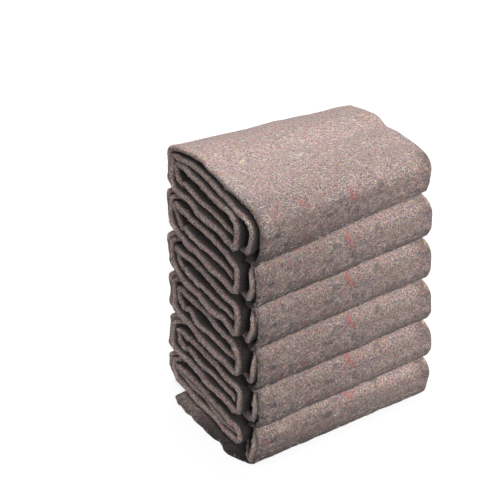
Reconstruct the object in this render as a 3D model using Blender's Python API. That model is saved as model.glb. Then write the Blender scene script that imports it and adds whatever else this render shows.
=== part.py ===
"""A stack of six folded moving blankets of recycled-fibre needle felt.

Each blanket is one cloth, folded twice across its width into four plies, then rolled up flat along
its length. The folded edge of the plies is the near end, at -X. The roll's section lies in the YZ
plane: it is a path of straight runs and bends, from the inner end of the cloth to its outer end.
The origin is at the bottom centre of the stack, and +Z is up.
"""

from collections import namedtuple
from math import cos, pi, sin, tan

import bmesh
import bpy
from mathutils import Vector

MM = 0.001

# The cloth, as it is cut, and what its two folds across the width leave.
CLOTH_WIDTH = 1372 * MM
PLIES = 4
FELT = 2.0 * MM
FOLDED_WIDTH = CLOTH_WIDTH / PLIES
LAYER = PLIES * FELT + 0.2 * MM  # four plies lying close, the thickness of every run

# How a layer ends. The near end is puffed up as far as PUFF behind its nose.
PUFF = 26 * MM
FAR_SLOT = 2.5 * MM  # the slot between the plies at the open far end
BLANKET_GAP = 0.4 * MM  # between one blanket and the next
STRAIGHT = 0.05  # radians; a corner that turns less than this isn't rounded
CORNER_SHARE = 0.48  # how much of a run the rounding of one of its corners may take

# A bend of the path. side and height are the corner's Y and Z at the near end, far_side and
# far_height the same at the far end, radius rounds the corner and steps divides its arc. nose is the
# layer's thickness at the near end, setback how far that end lies behind the stack's near plane, and
# lift how much it bends upwards. All in millimetres.
Bend = namedtuple("Bend", "side height far_side far_height radius steps nose setback lift")

LOWER_ROLL = [
    # The inner end, and the thin inner run towards the left.
    Bend(-66, 38.0, -62, 34.0, 0, 1, 9, 6, 0),
    Bend(-9, 39.0, -10, 33.0, 0, 1, 9, 3, 0),
    Bend(46, 33.5, 44, 31.0, 0, 1, 9, 2, 0),
    Bend(79, 37.0, 78, 31.5, 6, 2, 9, 1, 2),
    Bend(94, 23.8, 94, 23.0, 7, 2, 8.2, 4, 0),
    Bend(111.0, 32.5, 109.4, 32.0, 6, 2, 8.2, 5, 0),
    # Over the hollow to the right, and round the end of the inner run.
    Bend(111.4, 60.0, 110, 61.0, 7, 3, 10, 1, 0),
    Bend(80, 64.0, 76, 64.5, 0, 1, 13, 0, 3),
    Bend(33, 66.0, 30, 64.5, 0, 1, 14, -1, 9),
    Bend(-79, 66.3, -80, 66.3, 14, 3, 14, 0, 8),
    Bend(-79, 13.0, -80, 13.2, 12, 3, 13, 0, 1),
    # Back to the left, and up round the left side.
    Bend(20, 13.0, 10, 13.0, 0, 1, 13, -2, 1),
    Bend(84, 13.0, 80, 13.0, 0, 1, 12, -1, 0),
    Bend(122.0, 13.0, 120, 13.0, 22, 3, 8.6, 0, 0),
    Bend(122.0, 74.8, 120, 74.8, 9, 3, 8.2, 1, 0),
    # To the right under the outer run, and down inside the right side.
    Bend(88, 74.8, 84, 74.8, 0, 1, 8.2, 28, 0),
    Bend(-92, 74.8, -92, 74.8, 0, 1, 8.2, 28, 0),
    Bend(-120.8, 74.8, -120.8, 74.8, 13, 3, 9, 2, 0),
    Bend(-115.5, 13.6, -115.5, 13.6, 12, 3, 8.6, 2, 0),
    Bend(-92, 12.9, -92, 12.9, 6, 1, 8.2, 16, 0),
    Bend(-73, 4.1, -73, 4.1, 6, 1, 8.2, 27, 0),
    # To the left along the bottom, and up round the left side again.
    Bend(92, 4.1, 88, 4.1, 0, 1, 8.2, 26, 0),
    Bend(131.2, 4.1, 129, 4.1, 29, 4, 8.2, 4, 0),
    Bend(131.2, 83.6, 129, 83.6, 15, 3, 8.2, 1, 0),
    # The outer run over the top, and down the long side that shows.
    Bend(88, 83.6, 84, 83.6, 0, 1, 8.2, 28, 0),
    Bend(-92, 83.6, -92, 83.6, 0, 1, 8.2, 28, 0),
    Bend(-130.2, 83.6, -130.2, 83.6, 22, 4, 8.2, 0, 0),
    Bend(-126, 4.1, -126, 4.1, 24, 4, 8.2, 2, 0),
    Bend(-97, 4.1, -97, 4.1, 0, 1, 8.2, 12, 0),
]
LOWER_HEIGHT = 87.8
BOTTOM_RUN = 20  # the row where the bottom run begins

# A lower roll that is pressed more or less keeps its heights up to STILL, and those from MOVED up
# all shift alike: the hollow takes the difference.
STILL = 22.5
MOVED = 60.0

# The lowest blanket is the same roll pressed flatter, and its outer end runs on under the whole of
# it, as a tongue that sticks out at the near end. Each row gives a height of the lower roll and what
# it becomes, and a bend's lift shrinks with the hollow.
Level = namedtuple("Level", "was becomes")
PRESSED = [
    Level(4.1, 12.7),
    Level(13.0, 21.5),
    Level(22.5, 30.2),
    Level(39.0, 35.0),
    Level(64.0, 48.2),
    Level(66.5, 49.6),
    Level(74.8, 58.2),
    Level(83.6, 67.0),
]
PRESSED_LIFT = 0.3
TONGUE = [
    Bend(-98, 4.1, -98, 4.1, 0, 1, 8.2, -4, 0),
    Bend(-75, 4.1, -75, 4.1, 0, 1, 8.2, -12, 0),
    Bend(-45, 4.1, -45, 4.1, 0, 1, 8.2, -9, 0),
    Bend(-10, 4.1, -10, 4.1, 0, 1, 8.2, -17, 0),
    Bend(45, 4.1, 45, 4.1, 0, 1, 8.2, -19, 0),
    Bend(76, 4.1, 92, 4.1, 0, 1, 8.2, -22, 0),
    Bend(88, 4.1, 106, 4.1, 0, 1, 8.2, -14, 0),
]

# The top blanket is looser: thick and open at its near end, thin at its far end.
TOP_ROLL = [
    Bend(-68, 41.0, -56, 24.0, 0, 1, 9, 6, 0),
    Bend(-9, 42.0, -10, 24.0, 0, 1, 9, 3, 0),
    Bend(46, 36.0, 26, 22.0, 0, 1, 9, 2, 0),
    Bend(79, 40.0, 44, 21.7, 6, 2, 9, 1, 2),
    Bend(94, 23.5, 56, 21.7, 7, 2, 8.2, 4, 0),
    Bend(111.4, 30.0, 66, 23.0, 6, 2, 8.2, 5, 0),
    Bend(111.4, 51.0, 66, 30.6, 7, 3, 9, 1, 0),
    Bend(76, 66.0, 40, 32.5, 0, 1, 13, 0, 0),
    Bend(14, 70.0, 0, 36.0, 0, 1, 14, -1, 0),
    Bend(-79, 80.0, -80, 51.0, 18, 3, 14, 0, 2),
    Bend(-79, 13.0, -80, 13.2, 12, 3, 13, 0, 1),
    Bend(20, 13.0, 10, 13.0, 0, 1, 13, -2, 1),
    Bend(84, 13.0, 76, 13.0, 0, 1, 12, -1, 0),
    Bend(122.0, 13.0, 108, 13.0, 22, 3, 8.6, 0, 0),
    Bend(122.0, 58.0, 108, 21.8, 14, 3, 9, 1, 0),
    Bend(86, 79.0, 66, 40.0, 0, 1, 11, 2, 0),
    Bend(45, 94.5, 26, 51.0, 0, 1, 12, 1, 0),
    Bend(10, 101.0, 4, 47.6, 0, 1, 12, 1, 0),
    Bend(-121.4, 101.5, -114.6, 68.5, 22, 4, 11, 2, 0),
    Bend(-110, 13.8, -106.5, 13.6, 12, 3, 8.6, 4, 0),
    Bend(-90, 12.9, -90, 12.9, 6, 1, 8.2, 16, 0),
    Bend(-73, 4.1, -73, 4.1, 6, 1, 8.2, 27, 0),
    Bend(92, 4.1, 80, 4.1, 0, 1, 8.2, 26, 0),
    Bend(131.2, 4.1, 117, 4.1, 29, 4, 8.2, 4, 0),
    Bend(131.2, 68.0, 117, 30.6, 18, 3, 8.2, 1, 0),
    Bend(82, 97.0, 80, 47.0, 0, 1, 8.2, 5, 0),
    Bend(30, 115.5, 38, 62.5, 0, 1, 8.2, 4, 0),
    Bend(2, 113.0, 8, 58.5, 0, 1, 8.2, 4, 0),
    Bend(-45, 114.0, -34, 74.0, 0, 1, 8.2, 4, 0),
    Bend(-133, 114.5, -124, 78.0, 26, 5, 8.2, 4, 0),
    Bend(-121, 4.1, -117, 4.1, 25, 4, 8.2, 3, 0),
    Bend(-94, 4.1, -94, 4.1, 0, 1, 8.2, 12, 0),
]

# Where each blanket lies: its height and its shifts along X and Y in millimetres, and its turn in
# degrees.
Place = namedtuple("Place", "name roll height shift_x shift_y turn colour")
FELT_BROWN = (0.300, 0.235, 0.215, 1.0)
FELT_LIGHT = (0.360, 0.285, 0.265, 1.0)
PLACES = [
    Place("blanket_1", "lowest", 71.2, 1.5, 0.0, 0.0, FELT_BROWN),
    Place("blanket_2", "lower", 83.8, 1.5, 0.5, 0.3, FELT_LIGHT),
    Place("blanket_3", "lower", 89.2, 0.5, 0.0, -0.2, FELT_BROWN),
    Place("blanket_4", "lower", 89.2, 0.0, 1.0, 0.2, FELT_LIGHT),
    Place("blanket_5", "lower", 92.0, -0.5, 0.5, 0.0, FELT_BROWN),
    Place("blanket_6", "top", 118.3, -2.0, 0.5, 0.0, FELT_LIGHT),
]


def relevelled(bends, levels, lift_scale):
    """The bends with their heights changed as the levels say."""

    def moved(height):
        for low, high in zip(levels, levels[1:]):
            if height <= high.was:
                share = (height - low.was) / (high.was - low.was)
                return low.becomes + share * (high.becomes - low.becomes)
        return high.becomes + height - high.was

    return [
        bend._replace(
            height=moved(bend.height),
            far_height=moved(bend.far_height),
            lift=bend.lift * lift_scale,
        )
        for bend in bends
    ]


def lowest_roll():
    """The lower roll pressed flatter over its own outer end, which runs on as the tongue."""
    flatter = relevelled(LOWER_ROLL[:-2], PRESSED, PRESSED_LIFT)
    # Inside the right side the cloth now turns straight into the bottom run, with no step.
    level = flatter[BOTTOM_RUN].height
    for index in range(BOTTOM_RUN - 2, BOTTOM_RUN):
        flatter[index] = flatter[index]._replace(height=level, far_height=level)
    for index in range(BOTTOM_RUN - 1, BOTTOM_RUN + 1):
        flatter[index] = flatter[index]._replace(radius=0)
    return flatter + [LOWER_ROLL[-2]] + TONGUE


def bends_of(place):
    """The bends of the roll that lies in one place."""
    if place.roll == "lowest":
        return lowest_roll()
    if place.roll == "top":
        return TOP_ROLL
    extra = place.height - LOWER_HEIGHT
    return relevelled(LOWER_ROLL, [Level(0, 0), Level(STILL, STILL), Level(MOVED, MOVED + extra)], 1)


def corner_points(before, at, after, radius, steps):
    """The points of the arc that rounds the corner at, or the corner itself."""
    if radius == 0 or before is None or after is None:
        return [at]
    incoming = (at - before).normalized()
    outgoing = (after - at).normalized()
    turn = incoming.angle(outgoing, 0.0)
    if turn < STRAIGHT:
        return [at + outgoing * (step - steps / 2) * MM for step in range(steps + 1)]
    room = CORNER_SHARE * min((at - before).length, (after - at).length)
    reach = min(radius * tan(turn / 2), room)
    radius = reach / tan(turn / 2)
    start = at - incoming * reach
    side = outgoing - incoming * outgoing.dot(incoming)
    side.normalize()
    centre = start + side * radius
    points = []
    for step in range(steps + 1):
        angle = turn * step / steps
        points.append(centre + (incoming * sin(angle) - side * cos(angle)) * radius)
    return points


def rounded_path(corners, bends):
    """The path through the rounded corners, as a list of points for each bend."""
    last = len(corners) - 1
    return [
        corner_points(
            corners[i - 1] if i > 0 else None,
            corners[i],
            corners[i + 1] if i < last else None,
            bends[i].radius * MM,
            bends[i].steps,
        )
        for i in range(len(corners))
    ]


def side_directions(points):
    """The direction across the path at each point, to the right of the way it runs."""
    across = []
    for i in range(len(points)):
        along = points[min(i + 1, len(points) - 1)] - points[max(i - 1, 0)]
        across.append(Vector((along.y, -along.x)).normalized())
    return across


def stations(bends):
    """The path's stations: near point, far point, both directions across, and the near end."""
    near = rounded_path([Vector((b.side, b.height)) * MM for b in bends], bends)
    far = rounded_path([Vector((b.far_side, b.far_height)) * MM for b in bends], bends)
    ends = []
    for i, group in enumerate(near):
        ends += [(bends[i].nose * MM, bends[i].setback * MM, bends[i].lift * MM)] * len(group)
    near = [point for group in near for point in group]
    far = [point for group in far for point in group]
    return list(zip(near, far, side_directions(near), side_directions(far), ends))


def layer_loop(station):
    """The twelve points round the four plies at one station, from the near nose over the outer
    side to the slotted far end and back.
    """
    near, far, near_across, far_across, (nose, setback, lift) = station
    start = -FOLDED_WIDTH / 2 + setback
    end = FOLDED_WIDTH / 2
    half_nose = nose / 2
    half = LAYER / 2

    def place(x, offset, rise=0.0):
        share = (x + FOLDED_WIDTH / 2) / FOLDED_WIDTH
        point = near.lerp(far, share) + near_across.lerp(far_across, share) * offset
        return Vector((x, point.x, point.y + rise))

    half_circle = [-pi / 2, -pi / 4, 0.0, pi / 4, pi / 2]
    loop = [
        place(start + half_nose * (1 - cos(angle)), half_nose * sin(angle), lift)
        for angle in half_circle
    ]
    loop.append(place(start + PUFF, half))
    loop.append(place(end - half / 2, half))
    loop.append(place(end, half / 2))
    loop.append(place(end - FAR_SLOT, 0.0))
    loop.append(place(end, -half / 2))
    loop.append(place(end - half / 2, -half))
    loop.append(place(start + PUFF, -half))
    return loop


def blanket_mesh(name, bends):
    """A closed mesh: the layer's loop carried along the path, with both ends of the cloth closed."""
    bm = bmesh.new()
    rings = [
        [bm.verts.new(point) for point in layer_loop(station)] for station in stations(bends)
    ]
    count = len(rings[0])
    for ring, following in zip(rings, rings[1:]):
        for i in range(count):
            j = (i + 1) % count
            bm.faces.new((ring[i], ring[j], following[j], following[i]))
    bm.faces.new(reversed(rings[0]))
    bm.faces.new(rings[-1])
    bmesh.ops.triangulate(bm, faces=bm.faces[:])
    bmesh.ops.recalc_face_normals(bm, faces=bm.faces[:])
    mesh = bpy.data.meshes.new(name)
    bm.to_mesh(mesh)
    bm.free()
    return mesh


def felt_material(name, colour):
    material = bpy.data.materials.new(name)
    material.use_nodes = True
    shader = material.node_tree.nodes["Principled BSDF"]
    shader.inputs["Base Color"].default_value = colour
    shader.inputs["Roughness"].default_value = 0.95
    shader.inputs["Metallic"].default_value = 0.0
    return material


def build():
    for old in list(bpy.data.objects):
        bpy.data.objects.remove(old, do_unlink=True)
    collection = bpy.data.collections.new("moving_blanket_stack")
    bpy.context.scene.collection.children.link(collection)
    base = 0.0
    for place in PLACES:
        blanket = bpy.data.objects.new(place.name, blanket_mesh(place.name, bends_of(place)))
        blanket.location = (place.shift_x * MM, place.shift_y * MM, base)
        blanket.rotation_euler = (0.0, 0.0, place.turn * pi / 180)
        blanket.data.materials.append(felt_material("felt_" + place.name, place.colour))
        collection.objects.link(blanket)
        base += place.height * MM + BLANKET_GAP


build()
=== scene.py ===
import bpy
import numpy as np
from math import cos, pi, radians, sin
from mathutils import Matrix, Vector


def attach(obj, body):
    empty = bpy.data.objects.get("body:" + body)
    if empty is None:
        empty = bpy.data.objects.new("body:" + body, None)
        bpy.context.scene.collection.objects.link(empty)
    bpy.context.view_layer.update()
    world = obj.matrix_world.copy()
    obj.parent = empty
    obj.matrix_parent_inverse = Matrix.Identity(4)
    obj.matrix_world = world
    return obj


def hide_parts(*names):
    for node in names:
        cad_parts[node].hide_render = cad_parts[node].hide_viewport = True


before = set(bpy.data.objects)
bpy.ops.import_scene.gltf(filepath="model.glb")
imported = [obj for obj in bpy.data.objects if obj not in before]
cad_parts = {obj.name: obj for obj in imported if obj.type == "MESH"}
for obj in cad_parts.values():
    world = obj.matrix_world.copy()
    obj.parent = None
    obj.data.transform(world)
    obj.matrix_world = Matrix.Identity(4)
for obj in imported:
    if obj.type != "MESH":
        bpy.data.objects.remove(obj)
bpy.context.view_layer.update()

mm = 0.001

# what a user would change in the cloth itself
cloth = {
    "cutWidth": 1.372,
    "cutLength": 1.829,
    "plies": 4,
    "thick": 2.0 * mm,
    "pitch": 2.05 * mm,        # from one ply to the next where the roll is pressed
    "puffReach": 27 * mm,      # how far behind the nose the plies lie apart
    "innerOpen": 0.4,          # how much of the nose's opening the inner fold takes
    "innerBack": 7 * mm,       # how far the inner fold lies behind the outer one
    "farInset": 0.7 * mm,      # from the end of the folded width to the far fold
    "raggedFar": 2.5 * mm,     # how unevenly the cut edges end
    "cutsBack": (0.6, 1.6),    # how many times raggedFar the two cut edges end short
}
foldedWidth = cloth["cutWidth"] / cloth["plies"]

# how finely each sheet is divided
mesh = {
    "innerPly": 12,
    "hiddenPly": 26,
    "shownPly": 50,
    "outerFold": 15,
    "innerFold": 6,
    "farFold": 6,
    "cornerPoints": 8,
    "runStep": 11 * mm,
    "turnStep": 0.30,          # radians
    "crowding": 1.5,           # how strongly the grid lines crowd towards the nose
    "shownCrowding": 1.25,
}

# The rolls as rows of corners from the inner end outwards, in millimetres: side and height of the
# corner at the near end and at the far end, radius, nose, setback, lift and flare. The side grows
# to the left as seen from the near end, and the flare bends the nose towards the outer side.
lowerRoll = [
    # the inner end, and the thin inner run to the left
    (-66, 36.0, -62, 34.0, 0, 8.2, 6, 0),
    (-9, 36.0, -10, 33.0, 0, 8.2, 4, 0),
    (46, 32.5, 44, 31.0, 0, 8.2, 3, 0),
    (79, 37.0, 78, 31.5, 6, 8.2, 1, 2),
    (94, 23.8, 94, 23.0, 7, 8.2, 6, 0),
    (112.0, 32.5, 109.4, 32.0, 6, 8.2, 7, 0),
    # over the hollow to the right, and round the end of the inner run
    (112.4, 62.0, 110, 61.0, 7, 9, 3, 0),
    (80, 62.5, 76, 64.5, 0, 12, 2, 3),
    (33, 63.5, 30, 64.5, 0, 12, 3, 4),
    (-79, 64.5, -80, 66.3, 14, 12, 3, 3),
    (-79, 13.0, -80, 13.2, 12, 13, 0, 1),
    # back to the left, and up round the left side
    (20, 13.0, 10, 13.0, 0, 13, -2, 1),
    (84, 13.0, 80, 13.0, 0, 12, -1, 0),
    (122.0, 13.0, 120, 13.0, 22, 8.6, 0, 0),
    (122.0, 74.8, 120, 74.8, 9, 8.2, 1, 0),
    # to the right under the outer run, and down inside the right side
    (88, 74.8, 84, 74.8, 0, 8.2, 28, 0),
    (-92, 74.8, -92, 74.8, 0, 8.2, 28, 0),
    (-120.8, 74.8, -120.8, 74.8, 13, 11, 5, 0, 3),
    (-117, 50, -119, 50, 0, 11, 3, 0, 4),
    (-113, 31, -109, 28, 10, 10, 3, 0, 2),
    (-98, 22, -92, 12.9, 6, 8.2, 9, 0),
    (-73, 4.1, -73, 4.1, 6, 8.2, 27, 0),
    # to the left along the bottom, and up round the left side again
    (92, 4.1, 88, 4.1, 0, 8.2, 26, 0),
    (131.2, 4.1, 129, 4.1, 29, 8.2, 4, 0),
    (131.2, 83.6, 129, 83.6, 15, 8.2, 1, 0),
    # the outer run over the top, and down the long side
    (88, 83.6, 84, 83.6, 0, 8.2, 28, 0),
    (-92, 83.6, -92, 83.6, 0, 8.2, 28, 0),
    (-130.2, 83.6, -130.2, 83.6, 24, 8.2, 12, 0),
    (-131, 36, -129, 40, 20, 8.2, 12, 0),
    (-121, 13, -116.5, 15, 20, 8.2, 9, 0),
    (-97, 4.1, -97, 4.1, 0, 8.2, 12, 0),
]
lowerHeight = 87.8
# above the second of these heights it stretches to each blanket's own height, and the last two
# keep their distance from its top
stretchFrom = (0, 22.5, 60, 90)

# the lowest roll is pressed flatter: heights of the lower roll, and what they become
pressedFrom = [4.1, 13.0, 22.5, 39.0, 64.0, 66.5, 74.8, 83.6]
pressedTo = [12.7, 21.5, 30.2, 35.0, 48.2, 49.6, 58.2, 67.0]
pressedLift = 0.3
tongueReplaces = 3             # how many rows at the outer end the tongue takes the place of
hookRows = (19, 20, 21)        # where its cloth turns straight into the bottom run

# the lowest roll's outer end, which runs on under all of it
tongue = [
    (-118.5, 4.1, -113, 4.1, 26, 8.2, 4, 0),
    (-98, 4.1, -98, 4.1, 0, 8.2, -4, 0),
    (-75, 4.1, -75, 4.1, 0, 8.2, -12, 0),
    (-45, 4.1, -45, 4.1, 0, 8.2, -9, 0),
    (-10, 4.1, -10, 4.1, 0, 8.2, -17, 0),
    (45, 4.1, 45, 4.1, 0, 8.2, -19, 0),
    (76, 4.1, 92, 4.1, 0, 8.2, -22, 0),
    (88, 4.1, 106, 4.1, 0, 8.2, -14, 0),
]

# the top roll is looser: thick and open at its near end, thin at its far end
topRoll = [
    # the inner end and the thin inner run
    (-68, 37.0, -56, 24.0, 0, 8.2, 6, 0),
    (-9, 37.0, -10, 24.0, 0, 8.2, 4, 0),
    (46, 34.0, 26, 22.0, 0, 8.2, 3, 0),
    (79, 38.0, 44, 21.7, 6, 8.2, 1, 2),
    (94, 23.5, 56, 21.7, 7, 8.2, 6, 0),
    (113, 32.0, 66, 23.0, 6, 8.2, 7, 0),
    # round the end of the inner run
    (113, 60.0, 66, 30.6, 7, 9, 3, 0),
    (76, 72.0, 40, 32.5, 0, 12, 0, 0),
    (14, 73.0, 0, 36.0, 0, 12, 0, 0),
    (-79, 80.0, -80, 51.0, 18, 13, 0, 2),
    (-79, 13.0, -80, 13.2, 12, 13, 0, 1),
    # back to the left, and up round the left side
    (20, 13.0, 10, 13.0, 0, 13, -2, 1),
    (84, 13.0, 76, 13.0, 0, 12, -1, 0),
    (122.0, 13.0, 108, 13.0, 22, 8.6, 0, 0),
    (122.0, 72.0, 108, 21.8, 14, 9, 1, 0),
    # over the hollow, and round the near side
    (86, 84.0, 66, 40.0, 0, 12, 2, 0),
    (45, 91.0, 26, 51.0, 0, 13, 5, 0),
    (10, 94.0, 4, 47.6, 0, 13, 6, 0),
    (-118, 94.0, -114.6, 68.5, 26, 12, 7, 0),
    (-114, 60, -108, 46, 0, 10, 4, 0, 3),
    (-108, 31, -101, 26, 10, 9, 3, 0, 1),
    (-94, 22, -88, 12.9, 6, 8.2, 9, 0),
    (-73, 4.1, -73, 4.1, 6, 8.2, 27, 0),
    # to the left along the bottom, and up round the left side again
    (92, 4.1, 80, 4.1, 0, 8.2, 26, 0),
    (131.2, 4.1, 117, 4.1, 29, 8.2, 4, 0),
    (127.0, 82.0, 117, 29.0, 26, 9, 0, 0),
    # the outer run over the top, with its hump, and down the long side
    (88, 105.0, 80, 47.0, 0, 12, 3, 1),
    (34, 118.5, 38, 62.5, 0, 13, 7, 3),
    (2, 115.0, 10, 57.5, 0, 13, 9, 4),
    (-25, 114.5, -30, 78.0, 0, 13, 11, 3),
    (-48, 115.5, -68, 87.0, 0, 13, 13, 2),
    (-134, 115.0, -124, 89.0, 44, 12, 15, 1),
    (-136, 52, -120, 38, 20, 9, 15, 0),
    (-130, 14, -109.5, 14.5, 20, 8.2, 9, 0),
    (-94, 4.1, -92, 4.1, 0, 8.2, 12, 0),
]

# the rows from which each roll's cloth lies outermost, of its long shoulder and of its lip
rowNumbers = {
    "lowest": {"outer": 22, "shoulder": 27, "lip": 28},
    "lower": {"outer": 22, "shoulder": 27, "lip": 29},
    "top": {"outer": 23, "shoulder": 31, "lip": 33},
}

# how the six lie: roll, height, shifts along X and Y in millimetres, turn in degrees, seed
stack = [
    {"roll": "lowest", "height": 71.2, "shift": (1.5, 0.0), "turn": 0.0, "seed": 11},
    {"roll": "lower", "height": 83.8, "shift": (1.5, 0.5), "turn": 0.3, "seed": 22},
    {"roll": "lower", "height": 89.2, "shift": (0.5, 0.0), "turn": -0.2, "seed": 33},
    {"roll": "lower", "height": 89.2, "shift": (-1.5, 1.0), "turn": 0.2, "seed": 44},
    {"roll": "lower", "height": 92.0, "shift": (-2.5, 0.5), "turn": 0.0, "seed": 55},
    {"roll": "top", "height": 118.3, "shift": (-2.0, 0.5), "turn": 0.0, "seed": 66},
]
gapBetween = 0.4               # millimetres


# soft noise: its wave lengths as shares of its size, and how far it is scaled up
noiseLook = {"lengths": (0.7, 1.5), "gain": 1.1}


def softNoise(points, size, seed, waves=20):
    # A sum of sine waves in random directions, about `size` metres long, over the root of their
    # count, times the gain; it stays mostly within -1 to 1.
    rng = np.random.default_rng(seed)
    points = np.asarray(points, float)
    flat = points.reshape(-1, points.shape[-1])
    ways = rng.normal(size=(flat.shape[1], waves))
    ways /= np.linalg.norm(ways, axis=0)
    lengths = size * rng.uniform(*noiseLook["lengths"], waves)
    total = np.sin(flat @ (ways * 2 * pi / lengths) + rng.uniform(0, 2 * pi, waves)).sum(axis=1)
    return (total / np.sqrt(waves) * noiseLook["gain"]).reshape(points.shape[:-1])


def smoothStep(x):
    # 0 below 0, 1 above 1, and 3x^2 - 2x^3 between
    x = np.clip(x, 0, 1)
    return x * x * (3 - 2 * x)


def rising(value, start, reach):
    # 0 up to the start, then smoothly up, and 1 from a reach beyond it
    return smoothStep((value - start) / reach)


def blurred(values, sigma):
    # a running average with a bell-shaped weight, sigma samples wide, with the ends held
    reach = int(3 * sigma) + 1
    weights = np.exp(-0.5 * (np.arange(-reach, reach + 1) / sigma) ** 2)
    weights /= weights.sum()
    padded = np.pad(values, [(reach, reach)] + [(0, 0)] * (values.ndim - 1), mode="reflect",
                    reflect_type="odd")
    columns = padded.reshape(len(padded), -1)
    out = np.stack([np.convolve(c, weights, mode="valid") for c in columns.T], axis=1)
    return out.reshape(values.shape)


# the paths that the cloth follows
bends = {
    "room": 0.48,              # how much of a run each of its two corners may take
    "softReach": 9 * mm,       # how far an unrounded corner's bend reaches
    "straight": 0.05,          # radians: a corner that turns less counts as unrounded
    "sample": 1 * mm,
    "pathBlur": 3.0,           # samples
    "endBlur": 6.0,
    "turnBlur": 4.0,
}


def cornerArc(before, at, after, radius):
    # the arc that rounds a corner; a slight or unrounded corner gets a short soft bend instead
    into, out = at - before, after - at
    room = bends["room"] * min(np.linalg.norm(into), np.linalg.norm(out))
    into, out = into / np.linalg.norm(into), out / np.linalg.norm(out)
    turn = np.arccos(np.clip(into @ out, -1, 1))
    share = np.linspace(0, 1, mesh["cornerPoints"])[:, None]
    if radius == 0 or turn < bends["straight"]:
        reach = min(room, bends["softReach"])
        start, end = at - into * reach, at + out * reach
        return (1 - share) ** 2 * start + 2 * share * (1 - share) * at + share ** 2 * end
    reach = min(radius * np.tan(turn / 2), room)
    radius = reach / np.tan(turn / 2)
    side = out - into * (out @ into)
    side /= np.linalg.norm(side)
    centre = at - into * reach + side * radius
    return centre + (into * np.sin(turn * share) - side * np.cos(turn * share)) * radius


def pathOf(corners, radii):
    # straight runs between rounded corners, with the same count of points at every corner
    last = len(corners) - 1
    groups = [
        cornerArc(corners[i - 1], corners[i], corners[i + 1], radii[i])
        if 0 < i < last else np.repeat(corners[i][None], mesh["cornerPoints"], axis=0)
        for i in range(last + 1)
    ]
    return np.concatenate(groups)


def rowsOf(roll):
    # the rows as an array; a row that leaves out its flare has none
    return np.array([tuple(row) + (0,) * (9 - len(row)) for row in roll], float)


def rollOf(place):
    # the roll's rows with their heights changed to suit the blanket's own height
    if place["roll"] == "top":
        return rowsOf(topRoll)
    rows = rowsOf(lowerRoll)
    if place["roll"] == "lower":
        extra = place["height"] - lowerHeight
        was, becomes = stretchFrom, np.add(stretchFrom, (0, 0, extra, extra))
    else:
        rows = rows[:-tongueReplaces]
        was, becomes = pressedFrom, pressedTo
        rows[:, 7] *= pressedLift
    for column in (1, 3):
        rows[:, column] = np.interp(rows[:, column], was, becomes)
    if place["roll"] == "lowest":
        rows[list(hookRows), 1] = rows[list(hookRows), 3] = pressedTo[0]
        rows[list(hookRows[1:]), 4] = 0
        rows = np.concatenate([rows, rowsOf(tongue)])
    return rows


# painted light and painted shade on the outermost cloth, standing in for light on each shoulder
# and for shade towards each lip: distance past the roll's long shoulder in millimetres, and by
# how much the colour is multiplied
lowerPaintedLight = [(-36, 1.05), (-24, 1.70), (-17, 2.04), (-10, 1.52), (-5, 1.20), (5, 0.80),
             (14, 0.88), (22, 1.04), (30, 0.98), (36, 0.88), (45, 0.92), (56, 0.68), (65, 0.46),
             (75, 0.24), (88, 0.08), (130, 0.20), (215, 0.26), (270, 0.85), (372, 1.15)]
topPaintedLight = [(-110, 1.0), (-70, 0.93), (-40, 0.82), (-15, 0.76), (10, 0.88), (40, 1.0),
           (60, 0.92), (80, 0.62), (90, 0.42), (100, 0.27)]

# where else painted light and painted shade make the cloth paler or darker; a pair is where a
# change starts and how long it takes
shading = {
    "lowestShrinks": 0.78,                 # the lowest blanket's side is shorter
    "outer": (0, 40 * mm),                 # past the row where the cloth comes to the outside
    "side": (-45 * mm, 30 * mm),           # past the shoulder
    "mottled": (5 * mm, 25 * mm),
    "alongSide": (0.75, 1.24),             # at the near end and at the far end
    "nearEdge": 0.25,                      # darker along the near edge
    "nearEdgeReach": 14 * mm,
    "lipFrom": (-50 * mm, 50 * mm),        # from the lip
    "lipTo": (15 * mm, 25 * mm),
    "lipSlope": 0.8,                       # the lip darkens nearer than lipEven, as share of X
    "lipEven": 0.60,
    "farEdge": (0.90, 0.09),               # share of X
    "farDarker": 0.10,
    "farShoulderDarker": 0.42,
    "shoulderMiddle": -6 * mm,
    "shoulderBand": (8.4 * mm, 14 * mm),   # from its middle, either way
    # painted shade deep between the layers: behind the nose, and away from the far edge
    "deepFrom": (0, 7 * mm),               # behind the nose
    "deepTo": (1 * mm, 14 * mm),           # from the far edge
    # the tongue's upper side, from the lip, and the painted shade on it behind its edge
    "tongue": (30 * mm, 20 * mm),          # from the lip
    "tongueDeep": 0.6,
    "tongueDeepFrom": (12 * mm, 20 * mm),
}


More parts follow.
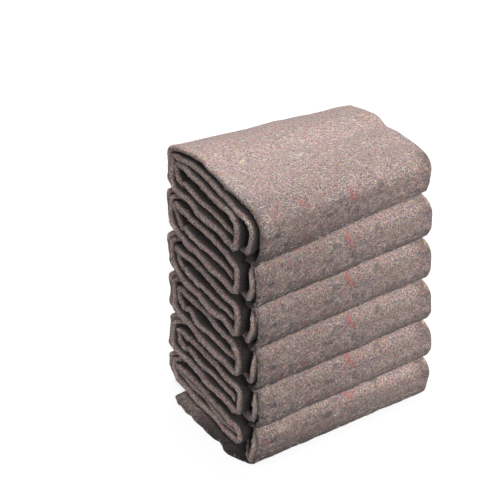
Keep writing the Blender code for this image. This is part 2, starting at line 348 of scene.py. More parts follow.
def stationsOf(rows, kind):
    # What every grid column of a roll needs: its near and far path points, the directions across
    # the cloth there, its nose, setback, lift and flare, and how far along the cloth it lies.
    # Columns lie closer together where the path turns.
    radii = rows[:, 4] * mm
    near = pathOf(rows[:, 0:2] * mm, radii)
    far = pathOf(rows[:, 2:4] * mm, radii)
    steps = (np.linalg.norm(np.diff(near, axis=0), axis=1)
             + np.linalg.norm(np.diff(far, axis=0), axis=1)) / 2
    along = np.concatenate([[0], np.cumsum(steps)])
    keep = np.concatenate([[True], steps > 1e-7])
    fine = np.arange(0, along[-1], bends["sample"])
    both = np.stack([np.interp(fine, along[keep], c[keep]) for c in (*near.T, *far.T)], axis=1)
    both = blurred(both, bends["pathBlur"])
    middles = along.reshape(len(rows), -1).mean(axis=1)
    ends = np.stack([np.interp(fine, middles, rows[:, k] * mm) for k in (5, 6, 7, 8)], axis=1)
    ends = blurred(ends, bends["endBlur"])
    ways = np.gradient(both, axis=0)
    turns = sum(
        np.abs(np.gradient(np.unwrap(np.arctan2(ways[:, k + 1], ways[:, k]))))
        for k in (0, 2)
    ) / 2
    density = np.cumsum(bends["sample"] / mesh["runStep"]
                        + blurred(turns, bends["turnBlur"]) / mesh["turnStep"])
    places = np.interp(np.arange(0, density[-1], 1.0), density, fine)
    places = np.append(places, fine[-1])

    outer, shoulder, lip = (middles[rowNumbers[kind][key]] for key in ("outer", "shoulder", "lip"))
    # painted light and shade by distance past the shoulder
    past, pale = np.array(topPaintedLight if kind == "top" else lowerPaintedLight).T
    if kind == "lowest":
        past = past * shading["lowestShrinks"]
    pale = np.interp(fine - shoulder, past * mm, pale)

    def at(values):
        return np.stack([np.interp(places, fine, c) for c in values.T], axis=1)

    points, ways, ends = at(both), at(ways), at(ends)
    nearWay = ways[:, 0:2] / np.linalg.norm(ways[:, 0:2], axis=1, keepdims=True)
    farWay = ways[:, 2:4] / np.linalg.norm(ways[:, 2:4], axis=1, keepdims=True)
    return {
        "along": places,
        "fromLip": places - lip,
        "pastShoulder": places - shoulder,
        "outermost": rising(places - outer, *shading["outer"]),
        "onSide": rising(places - shoulder, *shading["side"]),
        "mottled": rising(places - shoulder, *shading["mottled"]),
        "pale": np.interp(places, fine, pale),
        "near": points[:, 0:2],
        "far": points[:, 2:4],
        "nearAcross": np.stack([nearWay[:, 1], -nearWay[:, 0]], axis=1),
        "farAcross": np.stack([farWay[:, 1], -farWay[:, 0]], axis=1),
        "nose": ends[:, 0],
        "setback": ends[:, 1],
        "lift": ends[:, 2],
        "flare": ends[:, 3],
    }


# how each part strays from its even place along the cloth: how far, over what length, and what
# is added to the blanket's seed
strays = {
    "nose": (0.10, 45 * mm, 1),            # as a share of its height
    "nearEdge": (1.3 * mm, 70 * mm, 2),
    "nearEdgeFine": (0.6 * mm, 24 * mm, 3),
    "farEdge": (0.9 * mm, 90 * mm, 4),
    "innerFold": (1.5 * mm, 50 * mm, 5),
    "firstCut": (0.4, 30 * mm, 6),         # in units of raggedFar
    "secondCut": (0.4, 26 * mm, 7),
    "sway": (0.9 * mm, 48 * mm, 8),
    "tongue": (1.7 * mm, 24 * mm, 11),
}
tongueStrays = (25 * mm, 20 * mm)          # from the lip: where it starts, and how gradually

# how far behind the nose its sway, flare and lift have died away
noseReach = {"sway": 38 * mm, "flare": 22 * mm, "lift": 34 * mm}
topDroop = {"depth": 3.5 * mm, "reach": 26 * mm}

# lumps on the side that shows: height, size, what is added to the seed, and count of waves
lumpLook = [(0.16 * mm, 16 * mm, 9, 28), (0.26 * mm, 34 * mm, 10, 20)]


def crossSection(s, seed, isLowest):
    # One grid column goes round the four plies at a station: from one cut edge at the far end to
    # the outer fold at the near end, the fold at the far end, the inner fold and the other cut
    # edge. x is its place along X, n its distance from the layer's middle: half a pitch or one
    # and a half, and more near the nose.
    line = np.stack([s["along"], s["along"] * 0], axis=1)
    pitch = cloth["pitch"]

    def stray(part):
        amount, size, step = strays[part]
        return amount * softNoise(line, size, seed + step)

    start = -foldedWidth / 2 + s["setback"] + stray("nearEdge") + stray("nearEdgeFine")
    if isLowest:
        start = start + stray("tongue") * rising(s["fromLip"], *tongueStrays)
    start = start[None, :]
    end = (foldedWidth / 2 - cloth["farInset"] + stray("farEdge"))[None, :]
    nose = s["nose"] * (1 + stray("nose"))
    outer = np.maximum((nose / 2 - cloth["thick"] / 2)[None, :], 1.5 * pitch)
    inner = 0.5 * pitch + cloth["innerOpen"] * (outer - 1.5 * pitch)
    innerStart = start + cloth["innerBack"] + stray("innerFold")

    def ply(count, first, last, nNose, nFlat, crowding=mesh["crowding"]):
        # a ply from its nose to the far end; its distance n eases from nNose to nFlat
        q = np.linspace(0, 1, count)[:, None] ** crowding
        x = first + (last - first) * q
        ease = 1 - rising(x, first, cloth["puffReach"] - (first - start))
        return x, nFlat + (nNose - nFlat) * ease

    def fold(count, tip, n):
        # half an ellipse round a nose, from -n to +n
        angle = np.linspace(-pi / 2, pi / 2, count)[1:-1, None]
        return tip + n * (1 - np.cos(angle)), n * np.sin(angle)

    def backwards(run):
        return run[0][::-1], run[1][::-1]

    cutOne, cutTwo = (
        end - cloth["raggedFar"] * (back + stray(part))
        for back, part in zip(cloth["cutsBack"], ("firstCut", "secondCut"))
    )
    angle = np.linspace(pi / 2, -pi / 2, mesh["farFold"] + 2)[1:-1, None]
    farFold = (end - pitch + pitch * np.cos(angle), pitch + 0.5 * pitch * np.sin(angle) + 0 * end)
    outerNose, innerNose = start + outer, innerStart + inner
    runs = [
        backwards(ply(mesh["hiddenPly"], outerNose, cutOne, -outer, -1.5 * pitch)),
        fold(mesh["outerFold"], start, outer),
        ply(mesh["shownPly"], outerNose, end - pitch, outer, 1.5 * pitch, mesh["shownCrowding"]),
        farFold,
        backwards(ply(mesh["innerPly"], innerNose, end - pitch, inner, 0.5 * pitch)),
        backwards(fold(mesh["innerFold"] + 2, innerStart, inner)),
        ply(mesh["innerPly"], innerNose, cutTwo, -inner, -0.5 * pitch),
    ]
    x, n = (np.concatenate([run[k] for run in runs]) for k in (0, 1))
    return x, n, start, end, stray("sway")


def shadesOf(s, isLowest, x, n, start, end):
    # deep: painted shade, 0 where the cloth shows, 1 well inside between the layers; pale: the
    # painted light and shade that its colour is multiplied by; mottled: 1 on the long side
    behind, share = x - start, (x + foldedWidth / 2) / foldedWidth
    shown = smoothStep(n / cloth["pitch"])
    deep = rising(behind, *shading["deepFrom"]) * rising(end - x, *shading["deepTo"])
    deep = deep * (1 - s["outermost"] * shown)
    if isLowest:
        # the tongue shows its upper side too, as far as it sticks out, with painted shade a little
        # behind its edge
        tip = rising(s["fromLip"], *shading["tongue"])
        tipDeep = shading["tongueDeep"] * rising(behind, *shading["tongueDeepFrom"])
        deep = deep * (1 - tip) + tip * tipDeep

    # painted light and shade on the long side: darker at the near end and paler at the far end,
    # painted shade along the near edge, a slant from near to far by the lip, and less painted light
    # at the far end, most on the shoulder
    low, high = shading["alongSide"]
    pale = s["pale"] * (1 + s["onSide"] * (low - 1 + (high - low) * share))
    atEdge = 1 - rising(behind, 0, shading["nearEdgeReach"])
    pale = pale * (1 - shading["nearEdge"] * s["onSide"] * atEdge)
    lip = (rising(s["fromLip"], *shading["lipFrom"])
           * (1 - rising(s["fromLip"], *shading["lipTo"])))
    pale = pale * (1 + shading["lipSlope"] * lip * (share - shading["lipEven"]))
    fromShoulder = np.abs(s["pastShoulder"] - shading["shoulderMiddle"])
    onShoulder = 1 - rising(fromShoulder, *shading["shoulderBand"])
    darker = shading["farDarker"] + shading["farShoulderDarker"] * onShoulder
    pale = pale * (1 - darker * s["onSide"] * rising(share, *shading["farEdge"]))
    pale = 1 + (pale - 1) * s["outermost"]
    return {"deep": deep, "pale": pale, "mottled": s["mottled"] * s["outermost"] + 0 * deep}


def foldedSheet(place, base):
    # The cloth's middle surface as a grid: the cross-section's points, set out across the roll's
    # path, which changes evenly from the near end's path to the far end's.
    seed, isLowest = place["seed"], place["roll"] == "lowest"
    s = stationsOf(rollOf(place), place["roll"])
    x, n, start, end, sway = crossSection(s, seed, isLowest)
    behind = x - start
    share = ((x + foldedWidth / 2) / foldedWidth)[..., None]
    middle = s["near"] * (1 - share) + s["far"] * share
    across = s["nearAcross"] * (1 - share) + s["farAcross"] * share
    across /= np.linalg.norm(across, axis=-1, keepdims=True)

    # the noses sway from side to side, and curl up where there is a hollow above
    def nearNose(bend):
        return 1 - rising(behind, 0, noseReach[bend])

    sideways = sway * nearNose("sway") + s["flare"] * nearNose("flare")
    section = middle + across * (n + sideways)[..., None]
    points = np.concatenate([x[..., None], section], axis=-1)
    points[..., 2] += s["lift"] * nearNose("lift")
    if place["roll"] == "top":
        # the far edge of the top droops
        droop = rising(x, end - topDroop["reach"], topDroop["reach"]) ** 2
        points[..., 2] -= topDroop["depth"] * droop * np.clip(across[..., 1], 0, 1)
    lumps = sum(
        amount * softNoise(points, size, seed + step, waves)
        for amount, size, step, waves in lumpLook
    )
    points[..., 1:] += across * (lumps * smoothStep(n / cloth["pitch"]))[..., None]

    # its place in the stack
    turn = radians(place["turn"])
    xx, yy = points[..., 0].copy(), points[..., 1].copy()
    points[..., 0] = xx * cos(turn) - yy * sin(turn) + place["shift"][0] * mm
    points[..., 1] = xx * sin(turn) + yy * cos(turn) + place["shift"][1] * mm
    points[..., 2] += base

    # cloth coordinates in metres: across the cloth, and along it from the lip
    steps = np.linalg.norm(np.diff(np.stack([x, n], axis=-1), axis=0), axis=-1).mean(axis=1)
    width = np.concatenate([[0], np.cumsum(steps)])
    uv = np.stack(np.broadcast_arrays(width[:, None], s["fromLip"][None, :]), axis=-1)

    # the ply that shows: its first grid row, its places along X and across the cloth
    first = mesh["hiddenPly"] + mesh["outerFold"] - 2
    ply = slice(first, first + mesh["shownPly"])
    face = {"first": first, "x": x[ply].mean(axis=1), "across": width[ply],
            "fromLip": s["fromLip"]}
    return points, uv, shadesOf(s, isLowest, x, n, start, end), face


# a gentle sway of the whole stack: how far, over what length and the seed, for X, Y and Z
stackSway = [(0.8 * mm, 120 * mm, 901), (0.6 * mm, 130 * mm, 902), (0.5 * mm, 125 * mm, 903)]
firmFloor = {"reach": 30 * mm, "lowest": 1.1 * mm}


def warped(points):
    # each point moves by soft noise along X, Y and Z, and the floor stays flat
    free = smoothStep(points[..., 2] / firmFloor["reach"])
    moved = points.copy()
    for axis, (amount, size, seed) in enumerate(stackSway):
        moved[..., axis] += amount * softNoise(points, size, seed) * (free if axis == 2 else 1)
    moved[..., 2] = np.maximum(moved[..., 2], firmFloor["lowest"])
    return moved


def gridMesh(name, points, uv, shades):
    # quads between neighbouring grid points, with the cloth coordinates as its UV map
    rows, columns = points.shape[:2]
    index = np.arange(rows * columns).reshape(rows, columns)
    quads = np.stack([index[:-1, :-1], index[:-1, 1:], index[1:, 1:], index[1:, :-1]], axis=-1)
    quads = quads.reshape(-1, 4)
    data = bpy.data.meshes.new(name)
    data.vertices.add(rows * columns)
    data.vertices.foreach_set("co", points.reshape(-1))
    data.loops.add(quads.size)
    data.loops.foreach_set("vertex_index", quads.reshape(-1))
    data.polygons.add(len(quads))
    data.polygons.foreach_set("loop_start", np.arange(0, quads.size, 4))
    layer = data.uv_layers.new(name="cloth")
    layer.data.foreach_set("uv", uv.reshape(-1, 2)[quads.reshape(-1)].reshape(-1))
    for shade, values in shades.items():
        attribute = data.attributes.new(shade, "FLOAT", "POINT")
        attribute.data.foreach_set("value", values.reshape(-1).astype(np.float32))
    data.update(calc_edges=True)
    data.validate()
    data.shade_smooth()
    return data


# the loose fibres: where they lie, how many, how long and how high in millimetres, how far they
# turn from the edge's direction in radians, and their colours and shares
fibreLook = {
    "face": {"count": {"lowest": 380, "lower": 500, "top": 1100}, "length": (4, 12),
             "slant": pi / 2, "height": (0.0, 0.35)},
    "rims": {"count": 420, "length": (3, 8), "slant": 0.6, "height": (0.0, 0.8)},
    "faceFrom": {"lowest": -88 * mm, "lower": -88 * mm, "top": -270 * mm},  # from the lip
    "faceTo": 4 * mm,
    "radius": 0.32 * mm,
    "taper": 0.6,              # how much thinner it is at its ends
    "bend": 0.9,               # at most, as a share of its length
    "centred": 0.08,           # keeps a bent fibre about its place
    "rings": 6,
    "sides": 3,
    "roughness": 0.9,
    "colours": [((0.88, 0.81, 0.75), 60), ((0.10, 0.09, 0.10), 18), ((0.55, 0.10, 0.09), 8),
                ((0.20, 0.26, 0.36), 8), ((0.66, 0.52, 0.20), 6)],
}


def fibresOn(points, rows, columns, count, look, seed):
    # Short curved tubes on part of a sheet: centre = place + length t along + bend (t^2 - centred)
    # sideways + height outwards, with t from -1/2 to 1/2, in rings of a few corners whose radius
    # falls with |t|.
    rng = np.random.default_rng(seed)
    alongRow, alongColumn = np.gradient(points, axis=0), np.gradient(points, axis=1)
    i, j = rng.integers(*rows, count), rng.choice(columns, count)
    first = alongRow[i, j] / np.linalg.norm(alongRow[i, j], axis=1, keepdims=True)
    out = np.cross(alongColumn[i, j], alongRow[i, j])
    out /= np.linalg.norm(out, axis=1, keepdims=True) + 1e-12
    second = np.cross(out, first)
    mixes = rng.random((count, 2)) - 0.5
    place = points[i, j] + alongRow[i, j] * mixes[:, :1] + alongColumn[i, j] * mixes[:, 1:]
    angle = pi / 2 + rng.uniform(-look["slant"], look["slant"], count)[:, None]
    ahead = first * np.cos(angle) + second * np.sin(angle)
    aside = np.cross(out, ahead)
    length = rng.uniform(*look["length"], count) * mm
    bend = rng.uniform(-fibreLook["bend"], fibreLook["bend"], count) * length
    t = np.linspace(-0.5, 0.5, fibreLook["rings"])[None, :, None]
    height = cloth["thick"] / 2 + rng.uniform(*look["height"], count) * mm
    height = height[:, None, None]
    centre = (place[:, None] + ahead[:, None] * t * length[:, None, None]
              + aside[:, None] * (t * t - fibreLook["centred"]) * bend[:, None, None]
              + out[:, None] * height)
    way = np.gradient(centre, axis=1)
    way /= np.linalg.norm(way, axis=2, keepdims=True)
    sideways = np.cross(way, np.broadcast_to(out[:, None], way.shape))
    around = np.arange(fibreLook["sides"]) * 2 * pi / fibreLook["sides"]
    radius = fibreLook["radius"] * (1 - fibreLook["taper"] * np.abs(2 * t))[..., None]
    ring = (np.cos(around)[:, None] * np.cross(sideways, way)[:, :, None]
            + np.sin(around)[:, None] * sideways[:, :, None])
    return centre[:, :, None] + ring * radius


def fibreMesh(name, tubes, seed):
    # joins the tubes, each one closed, and gives every tube one of the colours
    count, rings, sides = tubes.shape[:3]
    index = np.arange(count * rings * sides).reshape(count, rings, sides)
    nextSide = np.roll(index, -1, axis=2)
    quads = np.stack([index[:, :-1], nextSide[:, :-1], nextSide[:, 1:], index[:, 1:]], axis=-1)
    quads = quads.reshape(-1, 4)
    caps = np.concatenate([index[:, 0, ::-1], index[:, -1]])
    corners = np.concatenate([quads.reshape(-1), caps.reshape(-1)])
    capStarts = quads.size + np.arange(len(caps)) * sides
    starts = np.concatenate([np.arange(len(quads)) * 4, capStarts])
    data = bpy.data.meshes.new(name)
    data.vertices.add(index.size)
    data.vertices.foreach_set("co", tubes.reshape(-1))
    data.loops.add(len(corners))
    data.loops.foreach_set("vertex_index", corners)
    data.polygons.add(len(starts))
    data.polygons.foreach_set("loop_start", starts)
    rng = np.random.default_rng(seed)
    colours, shares = (np.array(part) for part in zip(*fibreLook["colours"]))
    chosen = colours[rng.choice(len(colours), count, p=shares / shares.sum())]
    tint = np.ones((count, rings * sides, 4), np.float32)
    tint[..., :3] = chosen[:, None]
    attribute = data.color_attributes.new("tint", "FLOAT_COLOR", "POINT")
    attribute.data.foreach_set("color", tint.reshape(-1))
    data.update(calc_edges=True)
    data.validate()
    data.shade_smooth()
    return data


def fibreMaterial():
    # a dull fibre in each tube's own colour
    material = bpy.data.materials.new("looseFibre")
    material.use_nodes = True
    nodes, links = material.node_tree.nodes, material.node_tree.links
    shader = nodes["Principled BSDF"]
    shader.inputs["Roughness"].default_value = fibreLook["roughness"]
    tint = nodes.new("ShaderNodeAttribute")
    tint.attribute_name = "tint"
    links.new(tint.outputs["Color"], shader.inputs["Base Color"])
    return material


# marks on the cloth that shows: distance from the middle and from the lip, half sizes in
# millimetres, colour and strength
marks = [
    (14, -73, 5.0, 16, (0.66, 0.10, 0.10), 0.72),
    (21, -62, 4.0, 10, (0.64, 0.11, 0.10), 0.62),
    (-75, -28, 4.0, 6.0, (0.64, 0.09, 0.07), 0.75),
    (-79, -86, 6.0, 6.0, (0.66, 0.20, 0.13), 0.60),
    (-135, -49, 9.0, 6.5, (0.05, 0.06, 0.10), 0.80),
    (-116, -24, 8.0, 5.0, (0.05, 0.05, 0.07), 0.80),
    (-117, -60, 17, 9.0, (0.80, 0.70, 0.54), 0.50),
    (-10, -68, 13, 6.5, (0.08, 0.09, 0.13), 0.50),
    (23, -40, 8.0, 13, (0.08, 0.09, 0.13), 0.52),
    (-30, -50, 14, 7.0, (0.07, 0.065, 0.07), 0.62),
    (-149, -80, 9.0, 8.0, (0.88, 0.82, 0.77), 0.40),
    (105, -42, 3.5, 6.0, (0.55, 0.13, 0.12), 0.60),
    (70, -72, 9.0, 8.0, (0.05, 0.055, 0.08), 0.60),
    (-108, -220, 7.0, 3.5, (0.78, 0.66, 0.22), 0.60),
    (-12, -190, 11, 8.0, (0.86, 0.80, 0.74), 0.60),
    (3, -170, 10, 4.5, (0.20, 0.19, 0.18), 0.55),
    (40, -200, 9.0, 7.0, (0.72, 0.40, 0.36), 0.40),
]

# the felt: a noise is its scale, detail and roughness, and its stops are values and colours
plain = (1.0, 1.0, 1.0)
feltLook = {
    "roughness": 0.95,
    "specular": 0.15,
    "sheen": 0.12,
    "sheenRoughness": 0.6,
    "tufts": {"noise": (360, 3.0, 0.7),
              "stops": [(0.33, (0.085, 0.068, 0.068)), (0.50, (0.395, 0.285, 0.258)),
                        (0.67, (0.83, 0.62, 0.565))]},
    # every tuft has its own tint
    "tint": {"noise": (330, 2.0, 0.6), "strength": 0.52, "spread": 2.4, "lowest": -0.2},
    # broader patches lean to pink or to grey
    "broad": {"noise": (30, 3.0, 0.6), "strength": 0.7,
              "stops": [(0.32, (0.88, 0.93, 0.96)), (0.5, plain), (0.68, (1.10, 1.0, 0.99))]},
    "blots": {"noise": (140, 3.0, 0.65), "strength": 0.6,
              "stops": [(0.30, (0.66, 0.68, 0.72)), (0.5, plain), (0.70, (1.25, 1.19, 1.17))]},
    # the long side is more mottled than the top
    "mottle": {"noise": (95, 4.0, 0.7),
               "stops": [(0.34, (0.40, 0.43, 0.49)), (0.5, plain), (0.66, (1.56, 1.45, 1.39))]},
    "strandNoise": (1.5, 0.5, 1.2),        # detail, roughness and distortion
    "strandShift": (1.0, 1.7, 0.0),        # which way in the noise each kind is moved
    "strandEdge": 0.3,                     # where its soft edge starts, as a share of the width
    # strands of pale and dark fibre: scale, width, how far moved, strength, colour
    "strands": [(210, 0.022, 3.1, 0.45, (0.66, 0.58, 0.53)),
                (170, 0.018, 7.7, 0.50, (0.10, 0.085, 0.085)),
                (120, 0.012, 12.3, 0.45, (0.74, 0.66, 0.60))],
    # specks and marks are pulled about by this noise, as far as its reach
    "pull": {"noise": (260, 2.0, 0.6), "reach": 6 * mm},
    "speckEdge": 0.45,                     # where its soft edge starts, as a share of the radius
    # coloured specks: scale, radius, share of the cells, strength, colours
    "specks": [
        (330, 0.62, 0.34, 0.50, [(0.16, 0.20, 0.26), (0.42, 0.17, 0.16), (0.55, 0.45, 0.36),
                                 (0.10, 0.10, 0.11), (0.60, 0.50, 0.44), (0.30, 0.33, 0.38)]),
        (150, 0.50, 0.20, 0.50, [(0.14, 0.19, 0.27), (0.52, 0.11, 0.10), (0.56, 0.25, 0.23),
                                 (0.12, 0.12, 0.13), (0.62, 0.50, 0.22), (0.23, 0.27, 0.31)]),
        (70, 0.34, 0.12, 0.35, [(0.60, 0.12, 0.10), (0.20, 0.24, 0.30), (0.62, 0.30, 0.26),
                                (0.64, 0.55, 0.28)]),
    ],
    "markEdge": (0.35, 1.0),               # from full to none, as shares of a mark's half size
    "markTufts": (0.34, 0.58),             # a mark shows on tufts above these values
    # painted shade: how dark the cloth is painted deep between the layers, and in what colour
    "inside": 0.90,                        # how much the cloth darkens deep between the layers
    "paintedShadeColour": (0.012, 0.010, 0.010),
    # the needled surface: fine pits and soft lumps
    "pits": (330, 3.0, 0.65),
    "ridges": {"strand": (210, 0.03, 3.1), "height": 0.15},
    "bump": 1.6 * mm,
}


def spotsOf(face):
    # the marks' places in cloth coordinates, on the ply that shows
    return [(np.interp(mark[0] * mm, face["x"], face["across"]), mark[1] * mm) for mark in marks]


def feltMaterial(name, spots):
    # A dull felt whose colour = tufts x tint x broad patches x blots x mottle, then strands, specks
    # and marks laid over it, times the painted light and shade of its place, and with painted shade
    # deep between the layers.
    look = feltLook
    material = bpy.data.materials.new(name)
    material.use_nodes = True
    nodes, links = material.node_tree.nodes, material.node_tree.links
    shader = nodes["Principled BSDF"]
    shader.inputs["Roughness"].default_value = look["roughness"]
    shader.inputs["Sheen Weight"].default_value = look["sheen"]
    shader.inputs["Sheen Roughness"].default_value = look["sheenRoughness"]
    shader.inputs["Specular IOR Level"].default_value = look["specular"]
    uvMap = nodes.new("ShaderNodeUVMap")
    uvMap.uv_map = "cloth"
    place = uvMap.outputs["UV"]

    def attribute(name):
        # one of the sheet's own values
        node = nodes.new("ShaderNodeAttribute")
        node.attribute_name = name
        return node.outputs["Fac"]

    def noise(scale, detail, rough, distortion=0.0, vector=place):
        # soft noise, by value and by colour
        node = nodes.new("ShaderNodeTexNoise")
        node.inputs["Scale"].default_value = scale
        node.inputs["Detail"].default_value = detail
        node.inputs["Roughness"].default_value = rough
        node.inputs["Distortion"].default_value = distortion
        links.new(vector, node.inputs["Vector"])
        return node.outputs

    def ramp(source, stops, interpolation="LINEAR"):
        # a colour by value, straight or in steps between the stops
        node = nodes.new("ShaderNodeValToRGB")
        node.color_ramp.interpolation = interpolation
        elements = node.color_ramp.elements
        while len(elements) < len(stops):
            elements.new(0.5)
        for element, (position, colour) in zip(elements, stops):
            element.position = position
            element.color = (*colour, 1)
        links.new(source, node.inputs["Fac"])
        return node.outputs["Color"]

    def mix(factor, first, second, blend="MIX"):
        # first x (1 - factor) + second x factor, or with first x second in the second's place
        node = nodes.new("ShaderNodeMix")
        node.data_type = "RGBA"
        node.blend_type = blend
        for key, value in (("Factor", factor), ("A", first), ("B", second)):
            socket = [i for i in node.inputs if i.name == key and i.enabled][0]
            if isinstance(value, bpy.types.NodeSocket):
                links.new(value, socket)
            else:
                socket.default_value = value if key == "Factor" else (*value, 1)
        return [o for o in node.outputs if o.enabled][0]

    def maths(operation, *values):
        # one operation on values; each is a number or comes from another node
        node = nodes.new("ShaderNodeMath")
        node.operation = operation
        for socket, value in zip(node.inputs, values):
            if isinstance(value, bpy.types.NodeSocket):
                links.new(value, socket)
            else:
                socket.default_value = value
        return node.outputs["Value"]

    def vectorMaths(operation, first, *triples):
        # the same on vectors
        node = nodes.new("ShaderNodeVectorMath")
        node.operation = operation
        links.new(first, node.inputs[0])
        for socket, value in zip(node.inputs[1:], triples):
            if isinstance(value, bpy.types.NodeSocket):
                links.new(value, socket)
            else:
                socket.default_value = value
        return node.outputs

    def span(value, low, high):
        # 0 up to low, 1 from high, and a smooth step between
        node = nodes.new("ShaderNodeMapRange")
        node.interpolation_type = "SMOOTHSTEP"
        node.inputs["From Min"].default_value = low
        node.inputs["From Max"].default_value = high
        links.new(value, node.inputs["Value"])
        return node.outputs["Result"]

    def specks(scale, radius, share, colours, vector):
        # one blot in some of the cells: its cell's random value picks whether and which colour
        node = nodes.new("ShaderNodeTexVoronoi")
        node.inputs["Scale"].default_value = scale
        links.new(vector, node.inputs["Vector"])
        parts = nodes.new("ShaderNodeSeparateColor")
        links.new(node.outputs["Color"], parts.inputs["Color"])
        here = maths("LESS_THAN", parts.outputs["Red"], share)
        edge = span(node.outputs["Distance"], radius * look["speckEdge"], radius)
        blot = maths("SUBTRACT", 1.0, edge)
        stops = [(i / len(colours), c) for i, c in enumerate(colours)]
        return maths("MULTIPLY", here, blot), ramp(parts.outputs["Green"], stops, "CONSTANT")

    def strands(scale, width, shift):
        # thin curly lines where a soft noise crosses its middle value
        shifts = tuple(shift * part for part in look["strandShift"])
        shifted = vectorMaths("ADD", place, shifts)["Vector"]
        value = noise(scale, *look["strandNoise"], shifted)["Fac"]
        off = maths("ABSOLUTE", maths("SUBTRACT", value, 0.5))
        return maths("SUBTRACT", 1.0, span(off, width * look["strandEdge"], width))

    # coordinates pulled about, so that specks come out as short curly strands
    pull, reach = noise(*look["pull"]["noise"])["Color"], look["pull"]["reach"]
    bent = vectorMaths("MULTIPLY_ADD", pull, (reach, reach, 0.0), place)["Vector"]

    tufts = noise(*look["tufts"]["noise"])["Fac"]
    body = ramp(tufts, look["tufts"]["stops"])
    tint = look["tint"]
    tints = vectorMaths("MULTIPLY_ADD", noise(*tint["noise"])["Color"],
                        (tint["spread"],) * 3, (tint["lowest"],) * 3)["Vector"]
    body = mix(tint["strength"], body, tints, "MULTIPLY")
    broad, blots, mottle = (
        noise(*look[key]["noise"])["Fac"] for key in ("broad", "blots", "mottle")
    )
    for source, key in ((broad, "broad"), (blots, "blots")):
        body = mix(look[key]["strength"], body, ramp(source, look[key]["stops"]), "MULTIPLY")
    body = mix(attribute("mottled"), body, ramp(mottle, look["mottle"]["stops"]), "MULTIPLY")
    for scale, width, shift, strength, colour in look["strands"]:
        body = mix(maths("MULTIPLY", strands(scale, width, shift), strength), body, colour)
    for scale, radius, share, strength, colours in look["specks"]:
        blot, colour = specks(scale, radius, share, colours, bent)
        body = mix(maths("MULTIPLY", blot, strength), body, colour)

    # the listed marks, ragged at their edges; the pull moves them on by half its reach
    paleTufts = span(tufts, *look["markTufts"])
    for (across, along), mark in zip(spots, marks):
        centre = (across + reach / 2, along + reach / 2, 0)
        away = vectorMaths("SUBTRACT", bent, centre)["Vector"]
        sized = vectorMaths("DIVIDE", away, (mark[2] * mm, mark[3] * mm, 1))["Vector"]
        size = vectorMaths("LENGTH", sized)["Value"]
        blot = maths("SUBTRACT", 1.0, span(size, *look["markEdge"]))
        body = mix(maths("MULTIPLY", maths("MULTIPLY", blot, paleTufts), mark[5]), body, mark[4])

    # painted light and shade make the cloth paler or darker by place, and painted shade makes it
    # dark where it lies deep between the layers
    scaled = nodes.new("ShaderNodeVectorMath")
    scaled.operation = "SCALE"
    links.new(body, scaled.inputs[0])
    links.new(attribute("pale"), scaled.inputs["Scale"])
    body = mix(maths("MULTIPLY", attribute("deep"), look["inside"]), scaled.outputs["Vector"],
               look["paintedShadeColour"])
    links.new(body, shader.inputs["Base Color"])

    ridges = maths("MULTIPLY", strands(*look["ridges"]["strand"]), look["ridges"]["height"])
    height = maths("ADD", maths("ADD", noise(*look["pits"])["Fac"], blots), ridges)
    bump = nodes.new("ShaderNodeBump")
    bump.inputs["Strength"].default_value = 1.0
    bump.inputs["Distance"].default_value = look["bump"]
    links.new(height, bump.inputs["Height"])
    links.new(bump.outputs["Normal"], shader.inputs["Normal"])
    return material


looseFibre = fibreMaterial()
base = 0.0
for number, place in enumerate(stack, 1):
    points, uv, shades, face = foldedSheet(place, base * mm)
    points = warped(points)
    data = gridMesh(f"blanket{number}", points, uv, shades)
    sheet = bpy.data.objects.new(f"blanket{number}", data)
    bpy.context.scene.collection.objects.link(sheet)
    data.materials.append(feltMaterial(f"felt{number}", spotsOf(face)))
    solidify = sheet.modifiers.new("felt", "SOLIDIFY")
    solidify.thickness = cloth["thick"]
    solidify.offset = 0
    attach(sheet, "root")
    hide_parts(f"blanket_{number}")

    # loose fibres on the long side, on the top of the top blanket, and along all the near rims,
    # except on the last rows and columns
    onFace, onRims, first = fibreLook["face"], fibreLook["rims"], face["first"]
    faceFrom, faceTo = fibreLook["faceFrom"][place["roll"]], fibreLook["faceTo"]
    shown = np.flatnonzero((face["fromLip"] > faceFrom) & (face["fromLip"] < faceTo))
    rims = np.arange(2, points.shape[1] - 3)
    tubes = np.concatenate([
        fibresOn(points, (first, first + mesh["shownPly"] - 2), shown,
                 onFace["count"][place["roll"]], onFace, place["seed"]),
        fibresOn(points, (mesh["hiddenPly"] + 2, first), rims, onRims["count"], onRims,
                 place["seed"] + 1),
    ])
    fibres = bpy.data.objects.new(f"fibres{number}", fibreMesh(f"fibres{number}", tubes, number))
    bpy.context.scene.collection.objects.link(fibres)
    fibres.data.materials.append(looseFibre)
    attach(fibres, "root")
    base += place["height"] + gapBetween
    print(f"blanket {number}: {points.shape[0]} x {points.shape[1]} grid")

# the stack stands on a pale lit table under an overcast sky with two broad lamps
studio = {
    "floor": (0.22, 0.22, 0.22),
    "floorSize": 60,
    "floorGlow": 0.84,         # a lit table: the stack leaves only a faint shadow on it
    "sky": 0.40,
    "underfoot": 0.04,
    "horizon": (-0.05, 0.10),
    "lamps": [
        {"name": "key", "from": (0.30, 0.12, 0.95), "strength": 2.3, "spread": 0.5},
        {"name": "fill", "from": (-0.20, -0.72, 0.66), "strength": 1.8, "spread": 0.35},
    ],
}
bpy.ops.mesh.primitive_plane_add(size=studio["floorSize"], location=(0, 0, 0))
floor = bpy.context.object
floor.name = "floor"
floorPaint = bpy.data.materials.new("palePaper")
floorPaint.use_nodes = True
paint = floorPaint.node_tree.nodes["Principled BSDF"].inputs
paint["Base Color"].default_value = (*studio["floor"], 1)
paint["Roughness"].default_value = 1.0
paint["Specular IOR Level"].default_value = 0.0
paint["Emission Color"].default_value = (1.0, 1.0, 1.0, 1)
paint["Emission Strength"].default_value = studio["floorGlow"]
floor.data.materials.append(floorPaint)
floor.visible_diffuse = False

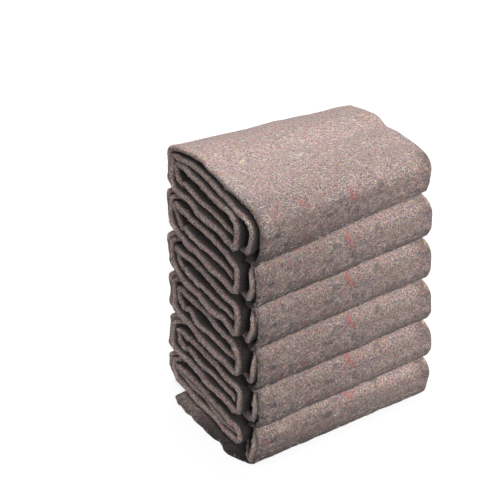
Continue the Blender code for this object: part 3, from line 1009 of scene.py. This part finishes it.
# the sky brightens from the horizon up, and the camera itself sees plain white
scene = bpy.context.scene
scene.view_settings.view_transform = "Standard"
world = bpy.data.worlds.new("studio")
scene.world = world
world.use_nodes = True
nodes, links = world.node_tree.nodes, world.node_tree.links
background = nodes["Background"]
where = nodes.new("ShaderNodeTexCoord")
parts = nodes.new("ShaderNodeSeparateXYZ")
links.new(where.outputs["Generated"], parts.inputs["Vector"])
up = nodes.new("ShaderNodeMapRange")
up.inputs["From Min"].default_value = studio["horizon"][0]
up.inputs["From Max"].default_value = studio["horizon"][1]
up.inputs["To Min"].default_value = studio["underfoot"]
up.inputs["To Max"].default_value = studio["sky"]
links.new(parts.outputs["Z"], up.inputs["Value"])
pathKind = nodes.new("ShaderNodeLightPath")
seen = nodes.new("ShaderNodeMath")
seen.operation = "MAXIMUM"
links.new(up.outputs["Result"], seen.inputs[0])
links.new(pathKind.outputs["Is Camera Ray"], seen.inputs[1])
links.new(seen.outputs["Value"], background.inputs["Strength"])
background.inputs["Color"].default_value = (1.0, 1.0, 1.0, 1)

for lamp in studio["lamps"]:
    light = bpy.data.lights.new(lamp["name"], "SUN")
    light.energy = lamp["strength"]
    light.angle = lamp["spread"]
    lightObject = bpy.data.objects.new(lamp["name"], light)
    lightObject.rotation_mode = "QUATERNION"
    lightObject.rotation_quaternion = Vector(lamp["from"]).to_track_quat("Z", "Y")
    scene.collection.objects.link(lightObject)
print("studio: floor, sky and", len(studio["lamps"]), "lamps")

view = {
    "distance": 12.0,
    "elevation": radians(41.36),
    "azimuth": radians(-32.23),
    "aim": (0, 0, 0.2646),
    "aimPixel": (300.1, 269.0),
    "pixelsPerMetre": 613.1,
    "imageSide": 480,
    "sensor": 36,              # millimetres
    "farthest": 100,
}
turn, tilt = view["azimuth"], view["elevation"]
back = Vector((sin(turn) * cos(tilt), -cos(turn) * cos(tilt), sin(tilt)))
right = Vector((cos(turn), sin(turn), 0))
upward = back.cross(right)
aim = Vector(view["aim"])
cameraPlace = aim + back * view["distance"]
# the camera looks past the aim so that the aim comes out at its own pixel
offset = [(view["imageSide"] / 2 - p) / view["pixelsPerMetre"] for p in view["aimPixel"]]
target = aim + right * offset[0] - upward * offset[1]
camera = bpy.data.cameras.new("camera")
camera.sensor_width = view["sensor"]
camera.lens = view["sensor"] * view["pixelsPerMetre"] * view["distance"] / view["imageSide"]
camera.clip_end = view["farthest"]
cameraObject = bpy.data.objects.new("camera", camera)
cameraObject.location = cameraPlace
cameraObject.rotation_mode = "QUATERNION"
cameraObject.rotation_quaternion = (cameraPlace - target).to_track_quat("Z", "Y")
scene.collection.objects.link(cameraObject)
scene.camera = cameraObject
print("camera:", [round(c, 3) for c in cameraPlace])
